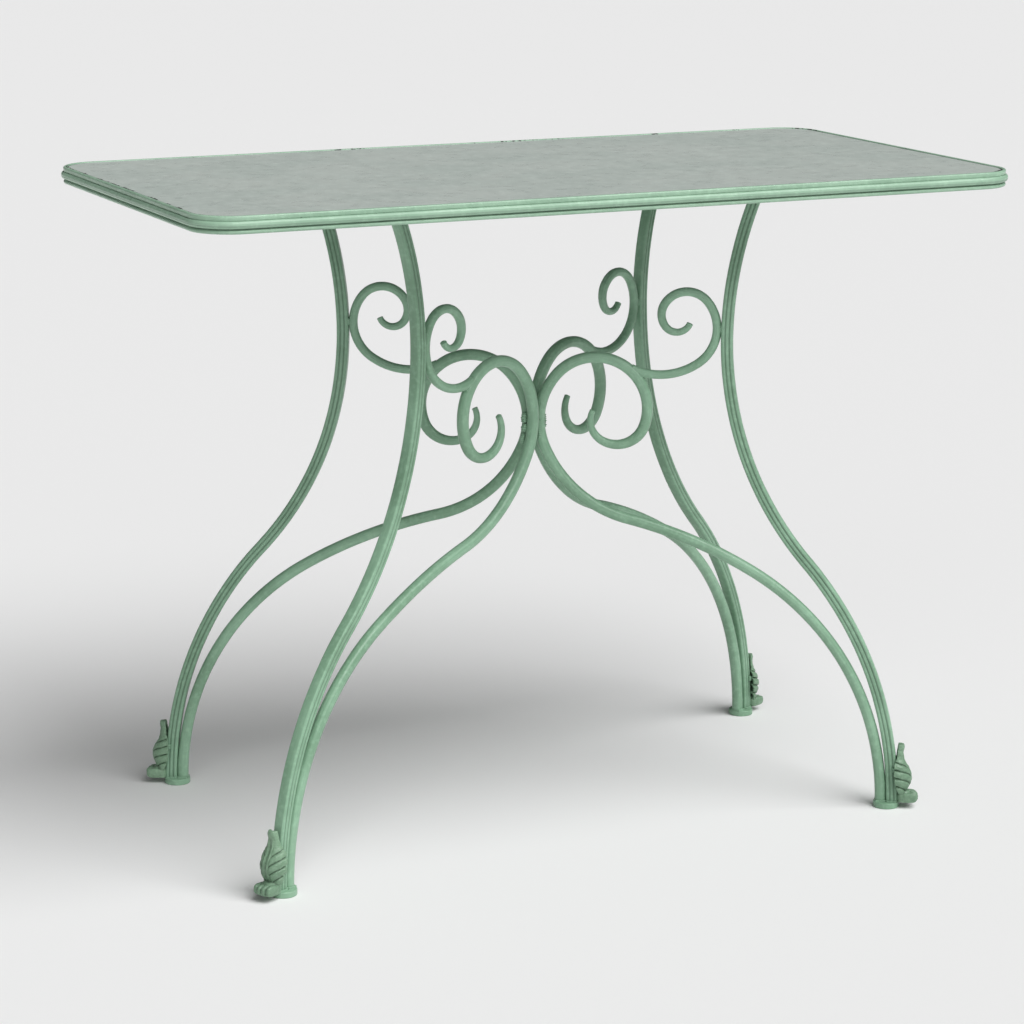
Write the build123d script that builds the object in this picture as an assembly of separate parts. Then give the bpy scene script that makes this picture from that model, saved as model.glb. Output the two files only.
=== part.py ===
"""Rectangular wrought-iron bistro table: sheet top in a moulded rim, on four welded scroll legs.

Frame: millimetres, +Z up, origin on the floor under the middle of the table top.
X runs along the long side, Y across it, and the front is -Y.
"""
from build123d import *
from math import asin, cos, degrees, radians, sin
import os

# ---------------------------------------------------------------- driving dimensions
LENGTH = 1000.0                # outermost size of the top along X
WIDTH = 520.0                  # outermost size of the top along Y
HEIGHT = 760.0                 # floor to the top of the rim
CORNER_RADIUS = 50.0           # plan radius of the rim's corners

RIM_HEIGHT = 20.0              # three beads, one above the other
LIP_SETBACK = 2.6              # top and bottom beads sit this far inside the middle one
LIP_WIDTH = 5.0                # width of the top bead
LIP_HEIGHT = 5.6
LIP_ROUNDING = 1.9
MIDDLE_WIDTH = 10.0            # the wide half-round bead
MIDDLE_HEIGHT = 8.2
MIDDLE_ROUNDING = 3.6
LOW_WIDTH = 8.0
LOW_HEIGHT = 5.0
LOW_ROUNDING = 2.2
BEAD_OVERLAP = 0.3             # the lip and the middle bead run into each other by this much
WEB_SETBACK = 4.6              # the flat behind the beads starts this far in
PANEL_DROP = 1.8               # the panel lies this far below the top of the lip
PANEL_THICKNESS = 1.8
RIM_DEPTH = 14.0               # from the middle bead in to the inner face of the rim

BATTEN_WIDTH = 46.0            # flat bars across the underside, over the leg tops
BATTEN_THICKNESS = 6.0
PLATE_LENGTH = 64.0            # welded plate on top of each leg
PLATE_WIDTH = 30.0
PLATE_CORNER = 6.0
PLATE_THICKNESS = 4.0
SCREW_SPACING = 46.0
SCREW_HEAD_RADIUS = 4.75       # M5 pan head
SCREW_HEAD_HEIGHT = 3.2
SCREW_RADIUS = 2.5
SCREW_HEAD_ROUNDING = 1.9
SCREW_SLOT = (1.2, 1.2)        # width and depth

LEG_SIZE = 14.0                # square outer leg
LEG_CORNER = 3.0
REED_GROOVE = 1.5              # radius of the grooves that make three reeds on each side face
REED_DEPTH = 1.0
REED_OFFSET = 2.4
INNER_SIZE = 12.5              # inner bar that ends in the large scroll
INNER_CORNER = 4.0
INNER_TIP = 0.55               # size of the scroll's tip against the bar
SMALL_SIZE = 9.8               # small scroll bar
SMALL_CORNER = 3.4
SMALL_TIP = 0.74

FOOT_RADIUS = 15.5
FOOT_HEIGHT = 7.0
FOOT_ROUNDING = 1.2

# The stand is two S-shaped pairs, each bent on its own, so they differ a little. The second pair
# lies in the valleys of the first one where they cross, a little further out and to the side.
# Each bar's centre line is a chain of tangent arcs in its leg frame's own plane, with r outwards
# and z up. Arcs are (radius, turn in degrees) pairs, left turns positive, from a start point and
# a start heading in degrees from +r.
PLATE_UNDERSIDE = HEIGHT - PANEL_DROP - PANEL_THICKNESS - BATTEN_THICKNESS - PLATE_THICKNESS
FIRST_PAIR = {
    "outwards": 0.4,
    "sideways": 0.0,
    "leg_foot_r": 430.5,
    "leg_sweep": 40.6,         # degrees that the leg leans inwards between foot and waist
    "leg_lower_radius": 445.0,
    "leg_waist_radius": 409.0,
    "leg_upper_radius": 471.0,
    "inner_foot_r": 417.0,
    "inner_arcs": [(324.0, 59.0), (534.0, 17.2), (145.2, -53.5), (83.6, -63.5), (60.6, -158.7)],
    "small_start": (113.6, 526.0),
    "small_heading": -24.7,
    "small_arcs": [(78.9, 59.4), (50.2, 95.2), (30.5, 111.1)],
}
SECOND_PAIR = {
    "outwards": 5.1,
    "sideways": 7.5,
    "leg_foot_r": 451.5,
    "leg_sweep": 45.4,
    "leg_lower_radius": 383.0,
    "leg_waist_radius": 420.0,
    "leg_upper_radius": 344.0,
    "inner_foot_r": 437.0,
    "inner_arcs": [(304.0, 60.8), (707.0, 13.2), (192.2, -45.6), (82.8, -72.0), (61.6, -166.1)],
    "small_start": (117.5, 527.9),
    "small_heading": -23.3,
    "small_arcs": [(63.0, 59.9), (50.0, 87.0), (30.9, 111.2)],
}
BACK_LEFT_LEG = FIRST_PAIR | {                     # the same bends, with the foot set further out
    "leg_foot_r": 441.5,
    "leg_sweep": 42.6,
    "leg_lower_radius": 428.0,
    "leg_waist_radius": 391.8,
    "inner_foot_r": 428.0,
    "inner_arcs": [(317.2, 59.0), (585.3, 17.2), (145.2, -53.5), (83.6, -63.5), (60.6, -158.7)],
}
INNER_CURL = [(34.5, -101.0), (27.0, -84.0)]       # tapering end of the large scroll
SMALL_CURL = [(23.7, 64.5), (16.5, 120.0)]         # tapering end of the small scroll
FRAMES = {                                         # the angle from the X axis, and the pair
    "front_right": (-29.6, FIRST_PAIR),
    "back_left": (148.2, BACK_LEFT_LEG),
    "front_left": (206.3, SECOND_PAIR),
    "back_right": (26.3, SECOND_PAIR),
}


def waist_drop(pair):
    """How much further in the waist is than the foot, and how high the waist is."""
    reach = pair["leg_lower_radius"] + pair["leg_waist_radius"]
    sweep_angle = radians(pair["leg_sweep"])
    return reach * (1 - cos(sweep_angle)), FOOT_HEIGHT + reach * sin(sweep_angle)


def upper_turn(pair):
    """Degrees that the leg leans outwards between waist and top."""
    waist_z = waist_drop(pair)[1]
    return degrees(asin((PLATE_UNDERSIDE - waist_z) / pair["leg_upper_radius"]))


def leg_waist_r(pair):
    return pair["leg_foot_r"] - waist_drop(pair)[0]


def leg_top_r(pair):
    return leg_waist_r(pair) + pair["leg_upper_radius"] * (1 - cos(radians(upper_turn(pair))))


def arc_chain(start, heading, arcs):
    """Return tangent arcs as edges in the frame's plane, with the end point and end heading."""
    edges = []
    point = Vector(start[0], start[1], 0)
    for radius, turn in arcs:
        tangent = Vector(cos(radians(heading)), sin(radians(heading)), 0)
        edge = JernArc(point, tangent, radius, turn)
        edges.append(edge)
        point = edge @ 1
        heading = heading + turn
    return edges, (point.X, point.Y), heading


def rounded_square(size, corner):
    return RectangleRounded(size, size, corner)


def reeded_square():
    """Square with rounded corners and two grooves in each side face, which leave three reeds."""
    section = rounded_square(LEG_SIZE, LEG_CORNER)
    for side in (-1, 1):
        for offset in (-REED_OFFSET, REED_OFFSET):
            centre = Pos(offset, side * (LEG_SIZE / 2 + REED_GROOVE - REED_DEPTH))
            section -= centre * Circle(REED_GROOVE)
    return section


def section_at(point, heading, section):
    """Stand a section upright on a chain: its X lies in the frame's plane, its Y across it."""
    direction = Vector(cos(radians(heading)), sin(radians(heading)), 0)
    outward = Vector(sin(radians(heading)), -cos(radians(heading)), 0)
    plane = Plane(origin=(point[0], point[1], 0), x_dir=outward, z_dir=direction)
    return plane * section


def swept(start, heading, arcs, section):
    """Sweep one section along a chain and stand the result in the XZ plane."""
    edges, end, end_heading = arc_chain(start, heading, arcs)
    bar = sweep(section_at(start, heading, section), path=Wire(edges))
    return Plane.XZ * bar, end, end_heading


def tapered(start, heading, arcs, size, corner, tip):
    """Sweep a rounded square that shrinks evenly to the tip of a scroll."""
    edges, end, end_heading = arc_chain(start, heading, arcs)
    first = section_at(start, heading, rounded_square(size, corner))
    last = section_at(end, end_heading, rounded_square(size * tip, corner * tip))
    bar = sweep([first, last], path=Wire(edges), multisection=True)
    return Plane.XZ * bar


def in_frame(name, shape):
    """Place a shape from a leg frame's own plane at its azimuth on the table."""
    azimuth, pair = FRAMES[name]
    return Rot(0, 0, azimuth) * Pos(pair["outwards"], pair["sideways"], 0) * shape


# ---------------------------------------------------------------- table top
def rim_profile():
    """Section of the rim: x runs outwards from the outermost line, y is height."""
    low = HEIGHT - RIM_HEIGHT
    lip_place = Pos(-LIP_SETBACK - LIP_WIDTH / 2, HEIGHT - LIP_HEIGHT / 2)
    profile = lip_place * RectangleRounded(LIP_WIDTH, LIP_HEIGHT, LIP_ROUNDING)
    middle_z = HEIGHT - LIP_HEIGHT - MIDDLE_HEIGHT / 2 + BEAD_OVERLAP
    middle = RectangleRounded(MIDDLE_WIDTH, MIDDLE_HEIGHT, MIDDLE_ROUNDING)
    profile += Pos(-MIDDLE_WIDTH / 2, middle_z) * middle
    low_place = Pos(-LIP_SETBACK - LOW_WIDTH / 2, low + LOW_HEIGHT / 2)
    profile += low_place * RectangleRounded(LOW_WIDTH, LOW_HEIGHT, LOW_ROUNDING)
    web_top = HEIGHT - PANEL_DROP - PANEL_THICKNESS
    web_width = RIM_DEPTH - WEB_SETBACK
    web_place = Pos(-WEB_SETBACK - web_width / 2, (web_top + low) / 2)
    return profile + web_place * Rectangle(web_width, web_top - low)


def top_rim():
    outline = RectangleRounded(LENGTH, WIDTH, CORNER_RADIUS).face().outer_wire()
    path = Pos(0, 0, HEIGHT) * outline
    profile = Plane(origin=(0, -WIDTH / 2, 0), x_dir=(0, -1, 0), z_dir=(-1, 0, 0)) * rim_profile()
    return sweep(profile, path=path)


def top_panel():
    inset = LIP_SETBACK + LIP_WIDTH
    outline = RectangleRounded(LENGTH - 2 * inset, WIDTH - 2 * inset, CORNER_RADIUS - inset)
    underside = HEIGHT - PANEL_DROP - PANEL_THICKNESS
    return Pos(0, 0, underside) * extrude(outline, PANEL_THICKNESS)


def leg_top(name):
    """Plan position of the middle of a leg's top end."""
    azimuth, pair = FRAMES[name]
    a = radians(azimuth)
    reach = leg_top_r(pair) + pair["outwards"]
    sideways = pair["sideways"]
    return reach * cos(a) - sideways * sin(a), reach * sin(a) + sideways * cos(a)


def batten(side):
    names = [name for name in FRAMES if name.endswith(side)]
    x = sum(leg_top(name)[0] for name in names) / len(names)
    length = WIDTH - 2 * RIM_DEPTH
    top = HEIGHT - PANEL_DROP - PANEL_THICKNESS
    bar = Pos(x, 0, top - BATTEN_THICKNESS / 2) * Box(BATTEN_WIDTH, length, BATTEN_THICKNESS)
    for name in names:
        for bolt_x, bolt_y in screw_places(name):
            hole = Cylinder(SCREW_RADIUS, BATTEN_THICKNESS)
            bar -= Pos(bolt_x, bolt_y, top - BATTEN_THICKNESS / 2) * hole
    return bar


def screw_places(name):
    x, y = leg_top(name)
    return [(x, y - SCREW_SPACING / 2), (x, y + SCREW_SPACING / 2)]


def leg_plate(name):
    x, y = leg_top(name)
    outline = RectangleRounded(PLATE_WIDTH, PLATE_LENGTH, PLATE_CORNER)
    plate = Pos(x, y, PLATE_UNDERSIDE) * extrude(outline, PLATE_THICKNESS)
    for bolt_x, bolt_y in screw_places(name):
        hole = Pos(bolt_x, bolt_y, PLATE_UNDERSIDE + PLATE_THICKNESS / 2)
        plate -= hole * Cylinder(SCREW_RADIUS, PLATE_THICKNESS)
    return plate


def pan_screw(x, y):
    length = PLATE_THICKNESS + BATTEN_THICKNESS
    shank = Pos(x, y, PLATE_UNDERSIDE + length / 2) * Cylinder(SCREW_RADIUS, length)
    head = Cylinder(SCREW_HEAD_RADIUS, SCREW_HEAD_HEIGHT)
    head = fillet(head.edges().group_by(Axis.Z)[0], SCREW_HEAD_ROUNDING)
    slot_width, slot_depth = SCREW_SLOT
    slot = Pos(0, 0, -SCREW_HEAD_HEIGHT / 2) * Box(2 * SCREW_HEAD_RADIUS, slot_width, 2 * slot_depth)
    head = Pos(x, y, PLATE_UNDERSIDE - SCREW_HEAD_HEIGHT / 2) * (head - slot)
    return shank + head


# ---------------------------------------------------------------- legs and scrolls
def leg_arcs(pair):
    return [
        (pair["leg_lower_radius"], pair["leg_sweep"]),
        (pair["leg_waist_radius"], -pair["leg_sweep"]),
        (pair["leg_upper_radius"], -upper_turn(pair)),
    ]


def outer_leg(pair):
    leg = swept((pair["leg_foot_r"], FOOT_HEIGHT), 90, leg_arcs(pair), reeded_square())[0]
    # the lean of the top end is trimmed flat under its plate
    trim = 3 * LEG_SIZE
    ceiling = Pos(leg_top_r(pair), 0, PLATE_UNDERSIDE + trim / 2) * Box(trim, trim, trim)
    return leg - ceiling


def inner_bar(pair):
    section = rounded_square(INNER_SIZE, INNER_CORNER)
    start = (pair["inner_foot_r"], FOOT_HEIGHT)
    bar, end, heading = swept(start, 90, pair["inner_arcs"], section)
    curl = tapered(end, heading, INNER_CURL, INNER_SIZE, INNER_CORNER, INNER_TIP)
    return bar + curl


def small_scroll(pair, large):
    section = rounded_square(SMALL_SIZE, SMALL_CORNER)
    start = pair["small_start"]
    bar, end, heading = swept(start, pair["small_heading"], pair["small_arcs"], section)
    curl = tapered(end, heading, SMALL_CURL, SMALL_SIZE, SMALL_CORNER, SMALL_TIP)
    # the starting end is coped to sit on the large scroll
    return (bar + curl) - large


def foot_disc(pair):
    outer_face = pair["leg_foot_r"] + LEG_SIZE / 2
    inner_face = pair["inner_foot_r"] - INNER_SIZE / 2
    disc = Pos((outer_face + inner_face) / 2, 0, FOOT_HEIGHT / 2) * Cylinder(FOOT_RADIUS, FOOT_HEIGHT)
    return fillet(disc.edges(), FOOT_ROUNDING)


# ---------------------------------------------------------------- cast leaf and paw
# Distances outwards are from the centre line of the leg where it stands on its disc.
LEAF_SECTIONS = [               # height, centre outwards, half depth, half width
    (17.0, 10.5, 5.5, 10.5),
    (28.0, 12.0, 8.5, 13.0),
    (40.0, 11.5, 9.6, 14.0),
    (52.0, 9.5, 7.2, 11.0),
    (62.0, 7.0, 4.2, 6.5),
    (71.0, 8.0, 3.0, 4.5),
    (78.0, 10.5, 2.0, 3.6),
]
PAW_PAD = (18.0, 24.0, 12.0)    # depth, width and height of the pad under the leaf
PAW_PAD_CORNER = 5.0
PAW_PAD_OUT = 16.5
PAW_PAD_Z = 7.5                 # the casting hangs just clear of the floor
TOE_COUNT = 4
TOE_PITCH = 6.6
TOE_RADIUS = 4.2
TOE_LENGTH = 18.0
TOE_NOSE = 3.6                  # rounding of each toe's outer end
TOE_Z = 12.5
TOE_REACH = 32.0                # outer end of the middle toes
TOE_FAN = 0.3                   # how much shorter a toe is for each mm it lies off the middle


def leaf_and_paw(pair):
    """One casting: a leaf that hugs the leg, above a paw whose toes point outwards."""
    foot_r = pair["leg_foot_r"]
    rings = [Pos(foot_r + out, 0, z) * Ellipse(depth, width) for z, out, depth, width in LEAF_SECTIONS]
    casting = loft(rings)
    pad_outline = RectangleRounded(PAW_PAD[0], PAW_PAD[1], PAW_PAD_CORNER)
    casting += Pos(foot_r + PAW_PAD_OUT, 0, PAW_PAD_Z) * extrude(pad_outline, PAW_PAD[2])
    for index in range(TOE_COUNT):
        offset = (index - (TOE_COUNT - 1) / 2) * TOE_PITCH
        middle = foot_r + TOE_REACH - abs(offset) * TOE_FAN - TOE_LENGTH / 2
        toe = Pos(middle, offset, TOE_Z) * Rot(0, 90, 0) * Cylinder(TOE_RADIUS, TOE_LENGTH)
        casting += fillet(toe.edges().sort_by(Axis.X)[-1], TOE_NOSE)
    # the casting is chased out for a plain square bar, and bridges the reeds of the leg
    section = rounded_square(LEG_SIZE, LEG_CORNER)
    socket = swept((foot_r, FOOT_HEIGHT), 90, leg_arcs(pair)[:1], section)[0]
    return casting - socket


# ---------------------------------------------------------------- welds
LEAF_WELD = (4.0, 7.6, 46.0, 2.6, 9.0)      # outwards, sideways, height, radius and length
SCROLL_WELD = (4.2, 10.0, 2.5)              # radius, length and rounded ends
JOIN_WELD_RADIUS = 6.0
JOIN_WELD_AHEAD = 13.0                      # along the small scroll from its start
JOIN_WELD_BELOW = 3.5
CENTRE_WELD = (3.2, 2.4)                    # radius and rounded ends
CENTRE_BEADS = [                            # plan position, middle height and length of each
    (-9.6, -4.6, 452.0, 36.0),
    (9.6, 4.6, 452.0, 36.0),
    (3.0, -9.8, 448.0, 30.0),
    (-3.0, 9.8, 448.0, 30.0),
]


def leaf_weld(pair, leg, casting):
    """A bead on each side, where the leaf meets the leg."""
    outwards, sideways, height, radius, length = LEAF_WELD
    beads = []
    for side in (-1, 1):
        place = Pos(pair["leg_foot_r"] + outwards, side * sideways, height)
        beads.append(place * Cylinder(radius, length) - leg - casting)
    return Compound(children=beads)


def scroll_weld(pair, leg, scroll):
    """Short upright bead between the small scroll and the waist of the leg."""
    radius, length, rounding = SCROLL_WELD
    place = Pos(leg_waist_r(pair) - LEG_SIZE / 2, 0, waist_drop(pair)[1])
    return fillet((place * Cylinder(radius, length)).edges(), rounding) - leg - scroll


def join_weld(pair, large, scroll):
    """Bead in the crotch where the coped end of the small scroll leaves the large one."""
    heading = radians(pair["small_heading"])
    r = pair["small_start"][0] + JOIN_WELD_AHEAD * cos(heading)
    z = pair["small_start"][1] + JOIN_WELD_AHEAD * sin(heading) - JOIN_WELD_BELOW
    return Pos(r, 0, z) * Sphere(JOIN_WELD_RADIUS) - large - scroll


def centre_welds(bars):
    """Four upright beads in the valleys where the inner bars come together."""
    radius, rounding = CENTRE_WELD
    beads = []
    for x, y, z, length in CENTRE_BEADS:
        bead = Pos(x, y, z) * Cylinder(radius, length)
        bead = fillet(bead.edges(), rounding)
        for bar in bars:
            bead = bead - bar
        beads.append(bead)
    return Compound(children=beads)


# ---------------------------------------------------------------- build and write
def write(name, shape):
    export_step(shape, f"parts/{name}.step")


def frame_parts(pair):
    """Every piece of one leg frame, in the frame's own plane."""
    leg = outer_leg(pair)
    large = inner_bar(pair)
    scroll = small_scroll(pair, large)
    casting = leaf_and_paw(pair)
    return {
        "outer_leg": leg,
        "inner_bar": large,
        "small_scroll": scroll,
        "foot_disc": foot_disc(pair),
        "leaf_paw": casting,
        "leaf_weld": leaf_weld(pair, leg, casting),
        "scroll_weld": scroll_weld(pair, leg, scroll),
        "join_weld": join_weld(pair, large, scroll),
    }


os.makedirs("parts", exist_ok=True)

inner_bars = []
for frame_name, (azimuth, pair) in FRAMES.items():
    pieces = frame_parts(pair)
    for piece_name, piece in pieces.items():
        write(f"{piece_name}_{frame_name}", in_frame(frame_name, piece))
    write(f"leg_plate_{frame_name}", leg_plate(frame_name))
    inner_bars.append(in_frame(frame_name, pieces["inner_bar"]))

write("centre_welds", centre_welds(inner_bars))
write("top_rim", top_rim())
write("top_panel", top_panel())
write("batten_left", batten("left"))
write("batten_right", batten("right"))
screws = [pan_screw(x, y) for name in FRAMES for x, y in screw_places(name)]
write("leg_screws", Compound(children=screws))
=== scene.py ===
"""Garden bistro table in green painted iron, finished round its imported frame. Metres, +Z up, front is -Y."""
import math

import bpy
import numpy as np
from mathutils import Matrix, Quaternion, Vector, noise


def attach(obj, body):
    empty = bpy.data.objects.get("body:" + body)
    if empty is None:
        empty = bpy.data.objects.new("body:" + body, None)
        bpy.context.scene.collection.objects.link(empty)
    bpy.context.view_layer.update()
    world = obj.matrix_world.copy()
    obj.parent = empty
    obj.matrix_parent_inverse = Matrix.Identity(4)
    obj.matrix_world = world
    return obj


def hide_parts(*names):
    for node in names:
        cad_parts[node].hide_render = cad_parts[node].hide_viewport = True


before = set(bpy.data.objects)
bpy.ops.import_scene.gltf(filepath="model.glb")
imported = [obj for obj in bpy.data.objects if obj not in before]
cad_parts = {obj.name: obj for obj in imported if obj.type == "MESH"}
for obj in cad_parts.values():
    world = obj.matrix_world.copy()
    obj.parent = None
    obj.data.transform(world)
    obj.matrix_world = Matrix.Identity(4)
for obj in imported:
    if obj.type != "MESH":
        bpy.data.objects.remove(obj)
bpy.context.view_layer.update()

# ---------------------------------------------------------------- top panel
# The top is a thin steel sheet with rounded corners, let into the rim a little below its lip.
# It is sprayed flat and dusted over; its colour is paler and greyer than the frame's, with a painted
# reflection of the bright room, and it is never quite flat:
# the sheet drums slightly between its battens and rolls down where it meets the lip.
MM = 0.001
TOP_LENGTH = 1000 * MM
TOP_WIDTH = 520 * MM
TOP_HEIGHT = 760 * MM
TOP_CORNER = 50 * MM
LIP_SETBACK = 2.6 * MM
LIP_WIDTH = 5.0 * MM
PANEL_DROP = 1.8 * MM
PANEL_THICKNESS = 1.8 * MM
PANEL_RISE = 1.1 * MM           # the paint and the roll of the edge stand the sheet up in its seat
PANEL_ROLL = [(0.0, 1.5), (0.3, 0.9), (0.8, 0.4), (1.6, 0.12), (2.6, 0.03), (4.5, 0.0),
              (7.0, 0.0)]               # how far in from the sheet's edge, and how far down, in mm
PANEL_DRUM = 0.35 * MM
PANEL_WEAR = 0.25
JOINT_SHADE_WIDTH = 1.7 * MM
CHIPPED_EDGE = 4.2 * MM
CHIPPED_FADE = 2.0 * MM
DRUM_FADE = 60 * MM             # the sheet is held flat at its edge
PANEL_RING_STEP = 12 * MM
SEAT_GAP = 0.15 * MM
CORNER_STEPS = 18
LONG_STEPS = 120
SHORT_STEPS = 60


def outline(inset):
    """Points and outward normals round the table's plan, that far in from the outermost line."""
    radius = max(TOP_CORNER - inset, 0.4 * MM)
    half_x = TOP_LENGTH / 2 - inset
    half_y = TOP_WIDTH / 2 - inset
    corners = [(1, -1, -90), (1, 1, 0), (-1, 1, 90), (-1, -1, 180)]
    places = []
    for index, (sx, sy, start) in enumerate(corners):
        centre_x = sx * (half_x - radius)
        centre_y = sy * (half_y - radius)
        for step in range(CORNER_STEPS + 1):
            a = math.radians(start + 90 * step / CORNER_STEPS)
            nx, ny = math.cos(a), math.sin(a)
            places.append((centre_x + radius * nx, centre_y + radius * ny, nx, ny))
        nsx, nsy, nstart = corners[(index + 1) % 4]
        a = math.radians(nstart)
        nx, ny = math.cos(a), math.sin(a)
        x0, y0 = places[-1][:2]
        x1 = nsx * (half_x - radius) + radius * nx
        y1 = nsy * (half_y - radius) + radius * ny
        steps = SHORT_STEPS if index % 2 == 0 else LONG_STEPS
        for step in range(1, steps):
            t = step / steps
            places.append((x0 + (x1 - x0) * t, y0 + (y1 - y0) * t, nx, ny))
    return places


def surface(name, points, faces, shade_and_grime=None, wear=None, run=None):
    """Make a smooth mesh piece on the root body, with what its paint needs to know at each point."""
    mesh = bpy.data.meshes.new(name)
    mesh.from_pydata([tuple(p) for p in points], [], faces)
    mesh.validate()
    count = len(mesh.vertices)
    for label, values in (("shade_and_grime", shade_and_grime), ("wear", wear)):
        layer = mesh.attributes.new(label, "FLOAT", "POINT")
        layer.data.foreach_set("value", np.array(values if values is not None else [0.0] * count, np.float32))
    layer = mesh.attributes.new("run", "FLOAT_VECTOR", "POINT")
    along = np.array(run if run is not None else [tuple(p) for p in points], np.float32)
    layer.data.foreach_set("vector", along.ravel())
    mesh.shade_smooth()
    piece = bpy.data.objects.new(name, mesh)
    bpy.context.scene.collection.objects.link(piece)
    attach(piece, "root")
    return piece


def strips(rings, ring_size, closed=True):
    """Quads between rings of equal size."""
    faces = []
    span = ring_size if closed else ring_size - 1
    for ring in range(rings - 1):
        for k in range(span):
            n = (k + 1) % ring_size
            a = ring * ring_size
            faces.append((a + k, a + n, a + ring_size + n, a + ring_size + k))
    return faces


def mix(tree, kind, factor, a, b):
    """Blend two colours, or values where a socket can carry one."""
    node = tree.nodes.new("ShaderNodeMix")
    node.data_type = kind
    base = 2 if kind == "FLOAT" else 6
    for socket, value in ((node.inputs[0], factor), (node.inputs[base], a), (node.inputs[base + 1], b)):
        if isinstance(value, bpy.types.NodeSocket):
            tree.links.new(value, socket)
        else:
            socket.default_value = value
    return node.outputs[0 if kind == "FLOAT" else 2]


# clouding and speckles of the paint: scale, detail, and the levels that the noise is squeezed between
CLOUDS = (11.0, 4.0, 0.38, 0.62)
PATCHES = (55.0, 4.0, 0.35, 0.68)
BRUSH_MARKS = (1.0, 3.0, 0.3, 0.7)
BRUSH_STRETCH = (22, 700, 700)
DUST = (160.0, 5.0, 0.48, 0.72)
SPECKS = (330.0, 2.0, 0.30, 0.80)
BLOTCHES = (38.0, 3.0, 0.25, 0.85)
PEEL = (520.0, 3.0, 0.2, 0.8)
CHIP_EDGE = 0.03
CHIP_ROUGHNESS = 0.75
PAINT_SHINE = 0.42
PAINT_RELIEF = 0.12 * MM
PRIMER = (0.035, 0.04, 0.036, 1)


def mottle(tree, vector, scale, detail, low, high):
    """Noise squeezed between two levels."""
    node = tree.nodes.new("ShaderNodeTexNoise")
    tree.links.new(vector, node.inputs["Vector"])
    node.inputs["Scale"].default_value = scale
    node.inputs["Detail"].default_value = detail
    span = tree.nodes.new("ShaderNodeMapRange")
    span.inputs["From Min"].default_value = low
    span.inputs["From Max"].default_value = high
    tree.links.new(node.outputs["Fac"], span.inputs["Value"])
    return span.outputs[0]


def math_node(tree, operation, a, b):
    """Arithmetic on two sockets or numbers."""
    node = tree.nodes.new("ShaderNodeMath")
    node.operation = operation
    for socket, value in ((node.inputs[0], a), (node.inputs[1], b)):
        if isinstance(value, bpy.types.NodeSocket):
            tree.links.new(value, socket)
        else:
            socket.default_value = value
    return node.outputs[0]


def shade_of(colour, share, lift=0.0):
    """A colour made darker or paler."""
    return tuple(min(1.0, c * share + lift) for c in colour[:3]) + (1,)


def sage_paint(name, light, dark, roughness, chip_level, grain):
    """Satin oil paint on iron: cloudy, brushed along the bar, dull in its grooves and painted dark there as
    shade and grime, chipped at its edges.
    """
    material = bpy.data.materials.new(name)
    material.use_nodes = True
    tree = material.node_tree
    shader = tree.nodes["Principled BSDF"]
    place = tree.nodes.new("ShaderNodeTexCoord").outputs["Object"]
    known = {}
    for label in ("shade_and_grime", "wear", "run"):
        node = tree.nodes.new("ShaderNodeAttribute")
        node.attribute_name = label
        known[label] = node.outputs["Vector" if label == "run" else "Fac"]
    stretch = tree.nodes.new("ShaderNodeMapping")
    stretch.inputs["Scale"].default_value = BRUSH_STRETCH
    tree.links.new(known["run"], stretch.inputs["Vector"])
    clouds = mottle(tree, place, *CLOUDS)
    patches = mottle(tree, place, *PATCHES)
    brushed = mottle(tree, stretch.outputs[0], *BRUSH_MARKS)
    tone = mix(tree, "RGBA", clouds, dark, light)
    middle = tuple((a + b) / 2 * 1.04 for a, b in zip(light[:3], dark[:3])) + (1,)
    tone = mix(tree, "RGBA", math_node(tree, "MULTIPLY", patches, 0.25), tone, middle)
    tone = mix(tree, "RGBA", math_node(tree, "MULTIPLY", brushed, 0.38), tone, shade_of(dark, 0.84))
    dust = mottle(tree, place, *DUST)
    tone = mix(tree, "RGBA", math_node(tree, "MULTIPLY", dust, 0.30), tone, shade_of(light, 1.28, 0.02))
    # grooves, joints and hollows are painted dark towards a near-black green: painted shade, with some grime
    shade_share = math_node(tree, "MULTIPLY", known["shade_and_grime"], 0.88)
    tone = mix(tree, "RGBA", shade_share, tone, shade_of(dark, 0.22))
    specks = math_node(tree, "MULTIPLY", mottle(tree, place, *SPECKS), 0.45)
    blotches = math_node(tree, "MULTIPLY", mottle(tree, place, *BLOTCHES), 0.55)
    chance = math_node(tree, "ADD", specks, blotches)
    chance = math_node(tree, "MULTIPLY", chance, known["wear"])
    chip = tree.nodes.new("ShaderNodeMapRange")
    chip.inputs["From Min"].default_value = chip_level
    chip.inputs["From Max"].default_value = chip_level + CHIP_EDGE
    tree.links.new(chance, chip.inputs["Value"])
    chipped = chip.outputs[0]
    tone = mix(tree, "RGBA", chipped, tone, PRIMER)
    tree.links.new(tone, shader.inputs["Base Color"])
    dull = math_node(tree, "ADD", roughness, math_node(tree, "MULTIPLY", patches, 0.10))
    dull = math_node(tree, "ADD", dull, math_node(tree, "MULTIPLY", known["shade_and_grime"], 0.15))
    tree.links.new(mix(tree, "FLOAT", chipped, dull, CHIP_ROUGHNESS), shader.inputs["Roughness"])
    shader.inputs["Specular IOR Level"].default_value = PAINT_SHINE
    peel = math_node(tree, "MULTIPLY", mottle(tree, place, *PEEL), 0.6)
    relief = math_node(tree, "ADD", peel, math_node(tree, "MULTIPLY", brushed, 0.5))
    relief = math_node(tree, "SUBTRACT", relief, math_node(tree, "MULTIPLY", chipped, 1.4))
    bump = tree.nodes.new("ShaderNodeBump")
    bump.inputs["Strength"].default_value = grain
    bump.inputs["Distance"].default_value = PAINT_RELIEF
    tree.links.new(relief, bump.inputs["Height"])
    tree.links.new(bump.outputs[0], shader.inputs["Normal"])
    return material


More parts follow.
